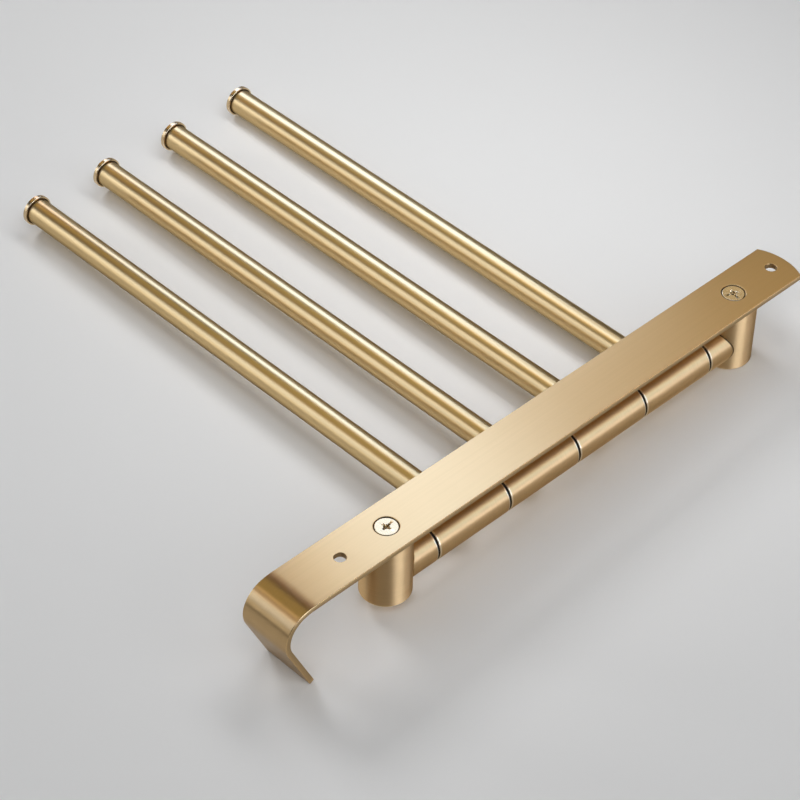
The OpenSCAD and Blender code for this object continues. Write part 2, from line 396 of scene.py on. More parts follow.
def sunk_hole():
    """A post screw's hole: a soft mouth painted paler, a painted highlight with rubbed wear, then a
    45 degree cone and a bore, both painted dark, a painted shade.
    """
    wall, mark = softened(
        [[SINK_MOUTH_R + SINK_EDGE * 2, 0], [SINK_MOUTH_R, 0], [SINK_MOUTH_R - PAINTED_SHADE_DEPTH, PAINTED_SHADE_DEPTH],
         [SCREW_BORE_R, SINK_MOUTH_R - SCREW_BORE_R], [SCREW_BORE_R, PLATE_T]],
        [0, SINK_EDGE, 0, 0, 0], HOLE_EDGE_STEPS)
    return wall, np.where(wall[:, 1] > PAINTED_SHADE_DEPTH * WALL_FROM, -1, mark)


def flat_outline(cuts):
    """The flat's outline inside the rounded edge: the heights of the points on its straight sides, even
    between the cuts, and the points of the end arc, at centre + r * (sin a, cos a)."""
    ends = cuts[1:] + [INNER_CORNER_Z - CORNER_STEP]
    fields = [np.linspace(low, high, count) for low, high, count in zip(cuts, ends, FIELD_POINTS)]
    side_z = np.unique(np.round(np.concatenate(fields + [[INNER_CORNER_Z]]), 9))
    half = np.arcsin(INSET_W / INNER_ARC_R)
    angle = np.concatenate([[half], np.linspace(half * ARC_SHARE, -half * ARC_SHARE, ARC_POINTS), [-half]])
    arc = paired(INNER_ARC_R * np.sin(angle), ARC_CENTRE_Z + INNER_ARC_R * np.cos(angle))
    arc[0], arc[-1] = (INSET_W, side_z[-1]), (-INSET_W, side_z[-1])
    return side_z, arc


def up_and_down(side, top):
    """Points up the right side, along the top and down the left side of the flat."""
    return np.concatenate([paired(INSET_W, side)[:-1], top[:-1], paired(-INSET_W, side[::-1])])


def flat_patches(cuts, side_z, arc):
    """Back and front of the flat: plain grids in the fields over the bend and between the posts, and in
    each other field a ring of faces round its hole on both faces, with the hole's wall."""

    def heights(low, high):
        """The heights of the side points from low to high."""
        return side_z[(side_z > low - TINY) & (side_z < high + TINY)]

    patches = []
    for low, high in (cuts[0:2], cuts[3:5]):
        x, z = np.meshgrid(ACROSS, heights(low, high))
        for depth in (0, PLATE_T):
            patches.append((paired(x, -depth, z), paired(x, z), 0))
    plain, sunk = plain_hole(), sunk_hole()
    for centre_z, low, high, (profile, mark) in (
            (-WALL_HOLE_Z, cuts[1], cuts[2], plain), (-POST_Z, cuts[2], cuts[3], sunk),
            (POST_Z, cuts[4], cuts[5], sunk), (WALL_HOLE_Z, cuts[5], INNER_CORNER_Z, plain)):
        side = heights(low, high)
        top = paired(ACROSS[::-1], side[-1]) if high < INNER_CORNER_Z else arc
        outline = np.concatenate([paired(ACROSS, side[0])[:-1], up_and_down(side, top)])
        patches.append(ring_patch(outline, centre_z, profile[0, 0], 0))
        patches.append(ring_patch(outline, centre_z, profile[-1, 0], PLATE_T))
        patches.append(hole_wall(outline, centre_z, profile, mark))
    return patches


def rim_patch(side_z, arc):
    """The rounded edge round the flat: inset + EDGE_OUT * (outer - inset) at EDGE_DEPTH. The outer point
    lies straight beside its inset point on the sides, and END_ARC_R from the arc's centre on the arc."""
    inset = up_and_down(side_z, arc)
    from_centre = inset - np.array([0, ARC_CENTRE_Z])
    on_arc = END_ARC_R * from_centre / np.linalg.norm(from_centre, axis=1, keepdims=True)
    straight = np.abs(np.abs(inset[:, 0]) - INSET_W) < TINY
    corner = straight & (inset[:, 1] > INNER_CORNER_Z - TINY)
    outer_x = np.where(straight, np.sign(inset[:, 0]) * PLATE_W / 2, on_arc[:, 0])
    outer_z = np.where(straight, inset[:, 1], ARC_CENTRE_Z + on_arc[:, 1])
    outer = paired(outer_x, np.where(corner, CORNER_Z, outer_z))
    rim = inset + EDGE_OUT[:, None, None] * (outer - inset)
    points = paired(rim[..., 0], -EDGE_DEPTH[:, None], rim[..., 1])
    over = travelled(paired(EDGE_OUT * PLATE_EDGE, EDGE_DEPTH))
    return points, crossed(over, travelled(inset)), EDGE_MARK[:, None]


def bend_patches(path_y, path_z, path_angle, start_z):
    """The section carried round the bend and tail, then the tail's rounded end and the face that closes
    it. The end's rows are the section inset by PLATE_EDGE * (1 - cos q), PLATE_EDGE * sin q further on."""
    core, turn, mark = plate_section()
    out_y, out_z = np.cos(path_angle), -np.sin(path_angle)
    along = start_z - travelled(paired(path_y, path_z))
    around = travelled(core + PLATE_EDGE * turn) - INSET_W

    def swept(station, section, forward=0.0):
        """The section at some stations of the path: x stays, the depth goes inward along the path's
        normal (out_y, out_z), and forward goes on along its direction (out_z, -out_y)."""
        depth = section[:, 1]
        y = path_y[station, None] - depth * out_y[station, None] + forward * out_z[station, None]
        z = path_z[station, None] - depth * out_z[station, None] - forward * out_y[station, None]
        return paired(section[:, 0], y, z)

    stations = np.arange(len(path_y))
    # Past TAIL_SHADE_FROM the tail is painted a little darker, a painted shade, fading in over
    # TAIL_SHADE_OVER
    past_bend = np.clip((path_angle - TAIL_SHADE_FROM) / TAIL_SHADE_OVER, 0, 1)
    shaded = np.where(mark == 0, TAIL_SHADE * past_bend[:, None], mark)
    last = stations[-1:]
    tip_rows = np.concatenate([swept(last, core + PLATE_EDGE * math.cos(q) * turn, PLATE_EDGE * math.sin(q))
                               for q in QUARTER])
    tip_mark = EDGE_MARK[:len(QUARTER), None]
    x, depth = np.meshgrid(ACROSS, [PLATE_EDGE, PLATE_T - PLATE_EDGE])
    end = swept(last, paired(x.ravel(), depth.ravel()), PLATE_EDGE).reshape(2, len(ACROSS), 3)
    return [(swept(stations, core + PLATE_EDGE * turn), crossed(along, around)[..., ::-1], shaded),
            (tip_rows, crossed(along[-1] - QUARTER * PLATE_EDGE, around)[..., ::-1], tip_mark),
            (end, paired(depth, x), 0)]


def plate_patches():
    """The whole plate: the flat with its holes, the rounded edge round it, and the bend with the tail."""
    path = bend_path()
    cuts = [path[-1], BEND_FIELD_TOP, -POST_FIELD_OUT, -POST_FIELD_IN, POST_FIELD_IN, POST_FIELD_OUT]
    side_z, arc = flat_outline(cuts)
    return flat_patches(cuts, side_z, arc) + [rim_patch(side_z, arc)] + bend_patches(*path)


def post_patches(side):
    """A post: a round bar from the plate's front to POST_REACH with a rounded front edge. Its rounded
    edges are painted paler, a painted highlight with rubbed wear.
    """
    length = POST_REACH - PLATE_T
    profile, edge = softened([[0, 0], [POST_R, 0], [POST_R, length], [0, length]],
                             [0, TURNED_EDGE, POST_ROUND, 0], POST_EDGE_STEPS)
    patch = turned(profile, edge, BARREL_ANGLES)
    return [placed(patch, (0, -PLATE_T, side * POST_Z), (1, 0, 0), (0, 0, side), (0, -1, 0))]


def recess_rim(a, reach, wing, core):
    """Radius of a cross recess at angle a: the arm's end reach / cos or its flank wing / sin, whichever is
    nearer, measured from the nearest of four arms, but never less than the round core in the middle."""
    folded = np.abs((a + np.pi / 4) % (np.pi / 2) - np.pi / 4)
    flank = wing / np.maximum(np.sin(folded), TINY)
    return np.maximum(np.minimum(reach / np.cos(folded), flank), core)


def screw_patches(side):
    """A countersunk screw: the outside turned round its axis, and a tapered cross recess in the head whose
    outline narrows with depth, first over the four wings and then over the round core to a point."""
    face_r = SCREW_HEAD_R - SCREW_FACE_IN
    outside, edge = softened(
        [[face_r, 0], [SCREW_HEAD_R, 0], [SCREW_R, SCREW_HEAD_R - SCREW_R], [SCREW_R, SCREW_L],
         [0, SCREW_L]], [0, SCREW_HEAD_ROUND, 0, SCREW_TIP_ROUND, 0], HOLE_EDGE_STEPS)
    # The head's rounded edge is painted paler, a painted highlight with rubbed wear, and all deeper than the
    # head's top is painted dark, a painted shade in the hole
    edge = np.where(outside[:, 1] > PAINTED_SHADE_DEPTH, -1, edge)
    quarter = np.concatenate([np.linspace(-WING_ANGLE, WING_ANGLE, WING_POINTS),
                              np.linspace(WING_ANGLE, np.pi / 4, FLANK_POINTS)[1:],
                              np.linspace(np.pi / 4, np.pi / 2 - WING_ANGLE, FLANK_POINTS)[1:-1]])
    a = np.concatenate([quarter + k * np.pi / 2 for k in range(4)] + [[quarter[0] + 2 * np.pi]])
    rows = [(np.full(len(a), face_r), 0, 0)]
    rows += [(recess_rim(a, *(RECESS_MOUTH + grown * RECESS_SOFT)), sunk * RECESS_SOFT, mark)
             for sunk, grown, mark in RECESS_LIP]
    rows += [(recess_rim(a, *outline), depth, 0) for *outline, depth in RECESS_BELOW]
    radius, depth, mark = (np.array(column, float) for column in zip(*rows))
    points = paired(radius * np.cos(a), radius * np.sin(a), depth[:, None])
    head = (points, points[..., :2].copy(), mark[:, None])
    around, _, around_mark = turned(outside, edge, a)
    shell = (around, crossed(travelled(outside), a * SCREW_HEAD_R), around_mark)
    spin = SCREW_SPIN[side]
    x_axis = (math.cos(spin), 0, math.sin(spin))
    y_axis = (-math.sin(spin), 0, math.cos(spin))
    at = (0, -SCREW_SINK, side * POST_Z)
    return [placed(patch, at, x_axis, y_axis, (0, -1, 0)) for patch in (head, shell)]


def barrel_end(inner_r, face):
    """Half the section of a barrel's end, from the bore outward: the end face, at height face, and the inner
    part of the chamfer are painted dark (-1), a painted shade in the seam, and the outer part with the first
    RIM_BRIGHT of the side is painted pale (1), a painted highlight on the turned rim. Returns radius, height
    and mark."""
    c = BARREL_EDGE
    dark = BARREL_R - SEAM_DARK_R
    return np.array([
        [inner_r, face, -1], [BARREL_R - c, face, -1], [SEAM_DARK_R, c - dark, -1],
        [SEAM_DARK_R + RIM_STEP, c - dark + RIM_STEP, 1], [BARREL_R - 2 * RIM_STEP, c - 2 * RIM_STEP, 1],
        [BARREL_R - RIM_STEP / 2, c - RIM_STEP / 2, 1], [BARREL_R, c + RIM_STEP, 1],
        [BARREL_R, c + RIM_BRIGHT, 1], [BARREL_R, c + RIM_BRIGHT + MARK_FADE, 0]])


def collar_patches(side):
    """A fixed collar: chamfered where it meets the stack, and saddled round the post at its far end, where
    the gap to the post is painted dark, a painted shade."""
    stack_half = ARM_COUNT / 2 * (HUB_L + WASHER_T) + WASHER_T / 2
    length = POST_Z - POST_R - SEAT_GAP - stack_half
    end = barrel_end(0, 0)
    side_h = np.concatenate([np.linspace(end[-1, 1] + COLLAR_FROM, length - COLLAR_TO, COLLAR_POINTS),
                             [length - GAP_SHADE_FROM, length - GAP_SHADE_FULL]])
    side_mark = np.append(np.zeros(len(side_h) - 1), GAP_SHADE[side])
    saddle = paired(np.linspace(BARREL_R, 0, SADDLE_POINTS), length, GAP_SHADE[side])
    rows = np.concatenate([end, paired(BARREL_R, side_h, side_mark), saddle])
    patch = turned(rows[:, :2], rows[:, 2], BARREL_ANGLES, POST_R + SEAT_GAP, side_h[0])
    return [placed(patch, (0, -AXLE_OUT, side * stack_half), (0, 1, 0), (1, 0, 0), (0, 0, side))]


def hub_patches(arm_z):
    """A turning hub: a chamfered barrel with its bore, as one closed ring, RUN_GAP clear of the washers."""
    end = barrel_end(BORE_R, RUN_GAP)
    far_end = end[::-1] * [1, -1, 1] + [0, HUB_L, 0]
    rows = np.concatenate([end, far_end, end[:1]])
    patch = turned(rows[:, :2], rows[:, 2], BARREL_ANGLES)
    return [placed(patch, (0, -AXLE_OUT, arm_z - HUB_L / 2), (1, 0, 0), (0, 1, 0), (0, 0, 1))]


def tube_patches(arm_z):
    """An arm's tube: outside and bore joined at both ends, the inner end following the hub's round side."""
    length = ARM_L - CAP_T - BARREL_R - SEAT_GAP
    plain_l = length - TUBE_SADDLE_L
    near = np.linspace(plain_l, length, TUBE_SADDLE_POINTS)[1:]
    outer_h = np.concatenate([np.linspace(TUBE_FROM, plain_l, TUBE_POINTS), near])
    mid_edge = TUBE_EDGE / 3
    profile = np.concatenate([
        [[TUBE_BORE_R, 0], [TUBE_R - TUBE_EDGE, 0], [TUBE_R - mid_edge, mid_edge], [TUBE_R, TUBE_EDGE]],
        paired(TUBE_R, outer_h), paired(TUBE_BORE_R, near[::-1]), [[TUBE_BORE_R, 0]]])
    # The middle of the inner end's rounding is painted paler, a painted highlight with rubbed wear
    edge = np.zeros(len(profile))
    edge[2] = 1
    patch = turned(profile, edge, TUBE_ANGLES, BARREL_R + SEAT_GAP, plain_l, rings=False)
    return [placed(patch, (ARM_L - CAP_T, -AXLE_OUT, arm_z), (0, 0, 1), (0, 1, 0), (-1, 0, 0))]


def cap_patches(arm_z):
    """A cap: a flange with rounded rims, a shallow dished face and the spigot that fits the tube. The
    spigot and the flange's underside within CAP_DARK_R are painted dark, a painted shade where the cap meets
    the tube, and the rounded rims and the dish's edges are painted paler, a painted highlight with rubbed
    wear."""
    dish_r = CAP_R - CAP_RIM_W - CAP_SLOPE_W
    profile, edge = softened(
        [[0, -CAP_PLUG_L], [CAP_PLUG_R, -CAP_PLUG_L], [CAP_PLUG_R, 0], [CAP_DARK_R, 0],
         [CAP_DARK_R + MARK_FADE, 0], [CAP_R, 0], [CAP_R, CAP_T], [CAP_R - CAP_RIM_W, CAP_T],
         [dish_r, CAP_T - CAP_DISH], [0, CAP_T - CAP_DISH]],
        [0, CAP_PLUG_ROUND, 0, 0, 0, CAP_ROUND, CAP_ROUND, CAP_DISH_ROUND, CAP_DISH_ROUND, 0])
    edge = np.where((profile[:, 1] < TINY) & (profile[:, 0] < CAP_DARK_R + TINY), -1, edge)
    patch = turned(profile, edge, TUBE_ANGLES)
    return [placed(patch, (ARM_L - CAP_T, -AXLE_OUT, arm_z), (0, 0, 1), (0, 1, 0), (1, 0, 0))]


# Values of the effects: the stretch of a noise texture that is used, the smudges and the edges painted
# paler, a painted highlight with rubbed wear
NOISE_LOW = 0.25
NOISE_HIGH = 0.75
SPOTS_PER_CLOUD = 9.0
SMUDGE_FROM = 0.28
SMUDGE_GAIN = 6.0
HIGHLIGHT_AND_WEAR_PATCHES = 260.0


def new_group(name, inputs, outputs):
    """A shader node group with its named sockets. Inputs are vectors where their value is None, and
    otherwise numbers, as all outputs are."""
    group = bpy.data.node_groups.new(name, "ShaderNodeTree")
    for label, value in inputs.items():
        kind = "NodeSocketVector" if value is None else "NodeSocketFloat"
        socket = group.interface.new_socket(name=label, in_out="INPUT", socket_type=kind)
        if value is not None:
            socket.default_value = value
    for label in outputs:
        group.interface.new_socket(name=label, in_out="OUTPUT", socket_type="NodeSocketFloat")
    return group, group.nodes.new("NodeGroupInput"), group.nodes.new("NodeGroupOutput")


def fill(tree, node, values):
    """Sets each input of a node: a socket is linked to it, and anything else is its value."""
    for key, value in values.items():
        if isinstance(value, bpy.types.NodeSocket):
            tree.links.new(value, node.inputs[key])
        else:
            node.inputs[key].default_value = value
    return node


def added(tree, kind, values=None):
    """A new shader node of one kind, with its inputs set."""
    return fill(tree, tree.nodes.new("ShaderNode" + kind), values or {})


def calculate(tree, operation, a, b=0.0, clamp=False):
    """The result of one Math node."""
    node = added(tree, "Math", {0: a, 1: b})
    node.operation = operation
    node.use_clamp = clamp
    return node.outputs[0]


def weighed(tree, share, first, second):
    """The sum share * first + (1 - share) * second."""
    return calculate(tree, "ADD", calculate(tree, "MULTIPLY", first, share),
                     calculate(tree, "MULTIPLY", second, 1 - share))


def stretched(tree, vector, width, length):
    """A vector whose first part is counted in widths, the second in lengths and the third in widths."""
    split = added(tree, "SeparateXYZ", {0: vector})
    counts = {part: calculate(tree, "DIVIDE", split.outputs[part], unit)
              for part, unit in enumerate((width, length, width))}
    return added(tree, "CombineXYZ", counts).outputs[0]


def remapped(tree, value, low, high, at_low=0.0, at_high=1.0):
    """Goes evenly from low to high as the value goes from at_low to at_high, and stays there beyond."""
    return added(tree, "MapRange", {"Value": value, "From Min": at_low, "From Max": at_high,
                                    "To Min": low, "To Max": high}).outputs[0]


def noise(tree, vector, scale, detail, roughness):
    """The value of one Noise Texture node, about 0.5 on average, stretched to fill 0 to 1."""
    node = added(tree, "TexNoise", {"Vector": vector, "Scale": scale, "Detail": detail,
                                    "Roughness": roughness})
    return remapped(tree, node.outputs[0], 0.0, 1.0, NOISE_LOW, NOISE_HIGH)


def make_brushed_lines():
    """Brushing or turning lines: fine scratches, and the broad faint streaks that they gather into."""
    group, into, out = new_group(
        "brushed lines", {"Lines": None, "Scratch Width": 0.14 * MM, "Scratch Length": 12 * MM,
                          "Streak Width": 1.2 * MM, "Streak Length": 72 * MM}, ["Scratches", "Streaks"])
    lines = into.outputs["Lines"]
    fine = stretched(group, lines, into.outputs["Scratch Width"], into.outputs["Scratch Length"])
    broad = stretched(group, lines, into.outputs["Streak Width"], into.outputs["Streak Length"])
    fill(group, out, {"Scratches": noise(group, fine, 1.0, detail=3, roughness=0.65),
                      "Streaks": noise(group, broad, 1.0, detail=2, roughness=0.5)})
    return group


def make_handling_marks():
    """Faint clouds and small smudges left by wiping and handling, the same in every direction."""
    group, into, out = new_group(
        "handling marks", {"Place": None, "Cloud Size": 30 * MM, "Spread": 0.5}, ["Smudge", "Cloud"])
    scale = calculate(group, "DIVIDE", 1.0, into.outputs["Cloud Size"])
    cloud = noise(group, into.outputs["Place"], scale, detail=2, roughness=0.5)
    spot_scale = calculate(group, "MULTIPLY", scale, SPOTS_PER_CLOUD)
    spots = noise(group, into.outputs["Place"], spot_scale, detail=3, roughness=0.6)
    lifted = calculate(group, "SUBTRACT", calculate(group, "MULTIPLY", spots, cloud), SMUDGE_FROM)
    gain = calculate(group, "MULTIPLY", into.outputs["Spread"], SMUDGE_GAIN)
    fill(group, out, {"Smudge": calculate(group, "MULTIPLY", lifted, gain, True), "Cloud": cloud})
    return group


def make_highlight_and_wear():
    """Edges painted paler, a painted highlight with rubbed wear: the bright marks, broken up a little along
    their length.
    """
    group, into, out = new_group("worn edge", {"Edge": 0.0, "Place": None, "Patchiness": 0.2}, ["HighlightAndWear"])
    patches = noise(group, into.outputs["Place"], HIGHLIGHT_AND_WEAR_PATCHES, detail=3, roughness=0.6)
    less = calculate(group, "MULTIPLY", into.outputs["Patchiness"], patches)
    whole = calculate(group, "SUBTRACT", 1.0, less)
    fill(group, out, {"HighlightAndWear": calculate(group, "MULTIPLY", into.outputs["Edge"], whole, True)})
    return group


def make_grinding_rings():
    """Rings ground round an axis: noise that changes with the distance along the axis alone."""
    group, into, out = new_group("grinding rings", {"Along": 0.0, "Ring Width": 0.2 * MM}, ["Rings"])
    line = added(group, "CombineXYZ", {0: into.outputs["Along"]}).outputs[0]
    scale = calculate(group, "DIVIDE", 1.0, into.outputs["Ring Width"])
    fill(group, out, {"Rings": noise(group, line, scale, detail=3, roughness=0.6)})
    return group


BRUSHED_LINES = make_brushed_lines()
HANDLING_MARKS = make_handling_marks()
HIGHLIGHT_AND_WEAR = make_highlight_and_wear()
GRINDING_RINGS = make_grinding_rings()


def new_material(name):
    """A new node material, its tree and its Principled shader."""
    material = bpy.data.materials.new(name)
    material.use_nodes = True
    tree = material.node_tree
    return material, tree, tree.nodes["Principled BSDF"]


def placed_group(tree, group, values):
    """One use of a node group in a material, with its own values."""
    node = added(tree, "Group")
    node.node_tree = group
    return fill(tree, node, values)


def blended(tree, share, first, second):
    """The colour that goes from first to second as share goes from 0 to 1."""
    node = added(tree, "Mix")
    node.data_type = "RGBA"
    return fill(tree, node, {"Factor": share, 6: first, 7: second}).outputs[2]


# Colours of the finishes, and how their effects are weighed. The edge golds are the paler golds of
# painted highlights with rubbed wear, and the near-black colour is the painted shade of marks below 0
GOLD = (0.65, 0.44, 0.215)
GOLD_SHADE = (0.58, 0.39, 0.188)
GOLD_EDGE = (0.80, 0.66, 0.44)
PLATE_EDGE_GOLD = (0.72, 0.48, 0.22)
TURNED_GOLD = (0.695, 0.465, 0.225)
TURNED_SHADE = (0.585, 0.385, 0.18)
TUBE_GOLD = (0.66, 0.475, 0.235)
TUBE_SHADE = (0.61, 0.438, 0.215)
CAP_GOLD = (0.66, 0.49, 0.28)
CAP_SHADE = (0.60, 0.44, 0.25)
CAP_EDGE_GOLD = (0.82, 0.70, 0.50)
SCREW_GOLD = (0.71, 0.55, 0.335)
SCREW_SHADE = (0.64, 0.49, 0.295)
SCREW_EDGE_GOLD = (0.84, 0.73, 0.52)
# The near-black colour of painted shade in seams, gaps and holes, on the plate's side and on the tail
PAINTED_SHADE_DARK = (0.03, 0.016, 0.008)
STEEL_DARK = (0.42, 0.42, 0.43)
STEEL_LIGHT = (0.62, 0.62, 0.63)
NYLON_BLACK = (0.008, 0.007, 0.006)
NYLON_RUBBED = (0.022, 0.020, 0.018)
STREAK_SHARE = 0.65
GRAIN_SHARE = 0.75
# How fully painted shade covers the gold at a mark of -1, and how much of its metal it takes away
PAINTED_SHADE_FULL = 0.93
PAINTED_SHADE_DULL = 0.9
EDGE_POLISH = 0.4
STREAKS_LONGER = 6
SCRATCH_BUMP = 0.35
SCRATCH_DEPTH = 0.004 * MM
STEEL_RINGS_SHARE = 0.6
STEEL_ROUGH = (0.2, 0.38)
NYLON_GRAIN = 6000.0
NYLON_ROUGH = (0.45, 0.65)


def gold_finish(name, gold, shade, edge_gold, roughness, spread, across, scratch=0.14 * MM, streak=1.2 * MM,
                length=12 * MM, relief=1.0, rim_tint=1.0):
    """Plated gold with a line finish. Scratches and streaks, of these widths and length, shade the gold a
    little, spread its roughness and cut grooves of this relief. Smudges dull it. Marks above 0 paint it
    paler, a painted highlight with rubbed wear, and marks below 0 paint it dark and less metallic, a
    painted shade. Light spreads across the lines, and rim_tint dims what is seen at a slant."""
    material, tree, shader = new_material(name)
    uv = added(tree, "UVMap")
    uv.uv_map = "metres"
    place = added(tree, "TexCoord").outputs["Object"]
    edge = added(tree, "Attribute")
    edge.attribute_name = "edge"
    lines = placed_group(tree, BRUSHED_LINES, {
        "Lines": uv.outputs[0], "Scratch Width": scratch, "Scratch Length": length, "Streak Width": streak,
        "Streak Length": length * STREAKS_LONGER})
    marks = placed_group(tree, HANDLING_MARKS, {"Place": place})
    highlighted_and_worn = placed_group(tree, HIGHLIGHT_AND_WEAR, {"Edge": edge.outputs["Fac"], "Place": place})
    grain = weighed(tree, STREAK_SHARE, lines.outputs["Streaks"], lines.outputs["Scratches"])
    tone = weighed(tree, GRAIN_SHARE, grain, marks.outputs["Cloud"])
    body = blended(tree, tone, (*shade, 1), (*gold, 1))
    # Marks above 0 paint the edge gold over the body: a painted highlight with rubbed wear
    bright = blended(tree, highlighted_and_worn.outputs["HighlightAndWear"], body, (*edge_gold, 1))
    # Marks below 0 paint shade: the colour goes toward near-black and the gold loses metal
    painted_shade = calculate(tree, "MULTIPLY", edge.outputs["Fac"], -PAINTED_SHADE_FULL, True)
    dull = calculate(tree, "ADD", remapped(tree, grain, roughness - spread, roughness + spread),
                     calculate(tree, "MULTIPLY", marks.outputs["Smudge"], spread))
    polish = calculate(tree, "MULTIPLY", highlighted_and_worn.outputs["HighlightAndWear"], roughness * EDGE_POLISH)
    bare = calculate(tree, "SUBTRACT", 1.0, calculate(tree, "MULTIPLY", painted_shade, PAINTED_SHADE_DULL))
    tangent = added(tree, "Tangent")
    tangent.direction_type = "UV_MAP"
    tangent.uv_map = "metres"
    bump = added(tree, "Bump", {"Height": lines.outputs["Scratches"], "Strength": SCRATCH_BUMP,
                                "Distance": SCRATCH_DEPTH * relief})
    fill(tree, shader, {"Base Color": blended(tree, painted_shade, bright, (*PAINTED_SHADE_DARK, 1)),
                        "Roughness": calculate(tree, "SUBTRACT", dull, polish, True), "Metallic": bare,
                        "Anisotropic": across, "Specular IOR Level": 0.0,
                        "Specular Tint": (rim_tint, rim_tint, rim_tint, 1),
                        "Tangent": tangent.outputs[0], "Normal": bump.outputs[0]})
    return material


def steel_finish(name, axis):
    """Ground steel: fine grinding rings round the piece's long axis, with faint clouds."""
    material, tree, shader = new_material(name)
    place = added(tree, "TexCoord").outputs["Object"]
    along = added(tree, "SeparateXYZ", {0: place}).outputs[axis]
    rings = placed_group(tree, GRINDING_RINGS, {"Along": along}).outputs["Rings"]
    marks = placed_group(tree, HANDLING_MARKS, {"Place": place, "Cloud Size": 12 * MM})
    tone = weighed(tree, STEEL_RINGS_SHARE, rings, marks.outputs["Cloud"])
    bump = added(tree, "Bump", {"Height": rings, "Strength": 0.3, "Distance": 0.004 * MM})
    fill(tree, shader, {"Base Color": blended(tree, tone, (*STEEL_DARK, 1), (*STEEL_LIGHT, 1)),
                        "Roughness": remapped(tree, tone, *STEEL_ROUGH), "Metallic": 1.0,
                        "Normal": bump.outputs[0]})
    return material


def nylon_finish(name):
    """Black nylon: a faint mould grain, with paler rubbed clouds."""
    material, tree, shader = new_material(name)
    place = added(tree, "TexCoord").outputs["Object"]
    grain = noise(tree, place, NYLON_GRAIN, detail=3, roughness=0.6)
    marks = placed_group(tree, HANDLING_MARKS, {"Place": place, "Cloud Size": 6 * MM})
    rubbed = blended(tree, marks.outputs["Cloud"], (*NYLON_BLACK, 1), (*NYLON_RUBBED, 1))
    bump = added(tree, "Bump", {"Height": grain, "Strength": 0.4, "Distance": 0.01 * MM})
    fill(tree, shader, {"Base Color": rubbed, "Roughness": remapped(tree, grain, *NYLON_ROUGH),
                        "Specular IOR Level": 0.15, "Normal": bump.outputs[0]})
    return material


plate_gold = gold_finish("plate satin gold", GOLD, GOLD_SHADE, PLATE_EDGE_GOLD, roughness=0.30, spread=0.03,
                         across=0.8, length=20 * MM, rim_tint=0.75)
turned_gold = gold_finish("turned satin gold", TURNED_GOLD, TURNED_SHADE, GOLD_EDGE, roughness=0.50,
                          spread=0.05, across=0.9, streak=0.6 * MM, rim_tint=0.45)
tube_gold = gold_finish("tube satin gold", TUBE_GOLD, TUBE_SHADE, GOLD_EDGE, roughness=0.30, spread=0.02,
                        across=0.1, length=30 * MM, relief=0.4, rim_tint=0.3)
cap_gold = gold_finish("cap polished gold", CAP_GOLD, CAP_SHADE, CAP_EDGE_GOLD, roughness=0.24, spread=0.04,
                       across=0.3, scratch=0.1 * MM, streak=0.5 * MM)
screw_gold = gold_finish("screw plated gold", SCREW_GOLD, SCREW_SHADE, SCREW_EDGE_GOLD, roughness=0.22,
                         spread=0.04, across=0.0, scratch=0.2 * MM, streak=0.8 * MM, length=4 * MM)

build_piece("wall_plate", "frame", plate_patches(), plate_gold)
for level_name, side in (("lower", -1), ("upper", 1)):
    build_piece(level_name + "_post", "frame", post_patches(side), turned_gold)
    build_piece(level_name + "_post_screw", "frame", screw_patches(side), screw_gold)
    build_piece(level_name + "_collar", "frame", collar_patches(side), turned_gold)
for number in range(1, ARM_COUNT + 1):
    arm = "arm_%d" % number
    arm_z = (number - (ARM_COUNT + 1) / 2) * (HUB_L + WASHER_T)
    build_piece(arm + "_hub", arm, hub_patches(arm_z), turned_gold)
    build_piece(arm + "_tube", arm, tube_patches(arm_z), tube_gold)
    build_piece(arm + "_cap", arm, cap_patches(arm_z), cap_gold)


def refinish(node, material):
    """Gives a CAD node that keeps its own mesh its finish."""
    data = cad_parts[node].data
    data.materials.clear()
    data.materials.append(material)


rod_steel = steel_finish("rod ground steel", 2)
stud_steel = steel_finish("stud ground steel", 0)
washer_nylon = nylon_finish("washer black nylon")
refinish("axle_rod", rod_steel)
for number in range(1, ARM_COUNT + 1):
    refinish("arm_%d_stud" % number, stud_steel)
for number in range(1, ARM_COUNT + 2):
    refinish("washer_%d" % number, washer_nylon)

# The floor touches the tail's tip, the upper post's end and the last arm's cap, as in the photograph.
# Mirrored rays that meet it above PASS_ABOVE pass it where they are short and steep: all of them up to
# NEAR_FLOOR and PASS_STEEP, and fewer toward FAR_FROM_FLOOR and STOP_SLANTED, where none do.
FLOOR_AT = Vector((0, -0.0385, -0.01))
FLOOR_UP = Vector((-0.0193, 1.0, -0.026))
FLOOR_HALF = 1.5
FLOOR_TONE_LOW = (0.86, 0.865, 0.87)
FLOOR_TONE_HIGH = (0.90, 0.905, 0.91)
FLOOR_CLOUDS = 1.6
FLOOR_GRAIN = 900.0
NEAR_FLOOR = 10 * MM
FAR_FROM_FLOOR = 13 * MM
PASS_STEEP = 0.35
STOP_SLANTED = 0.42
PASS_ABOVE = -122 * MM


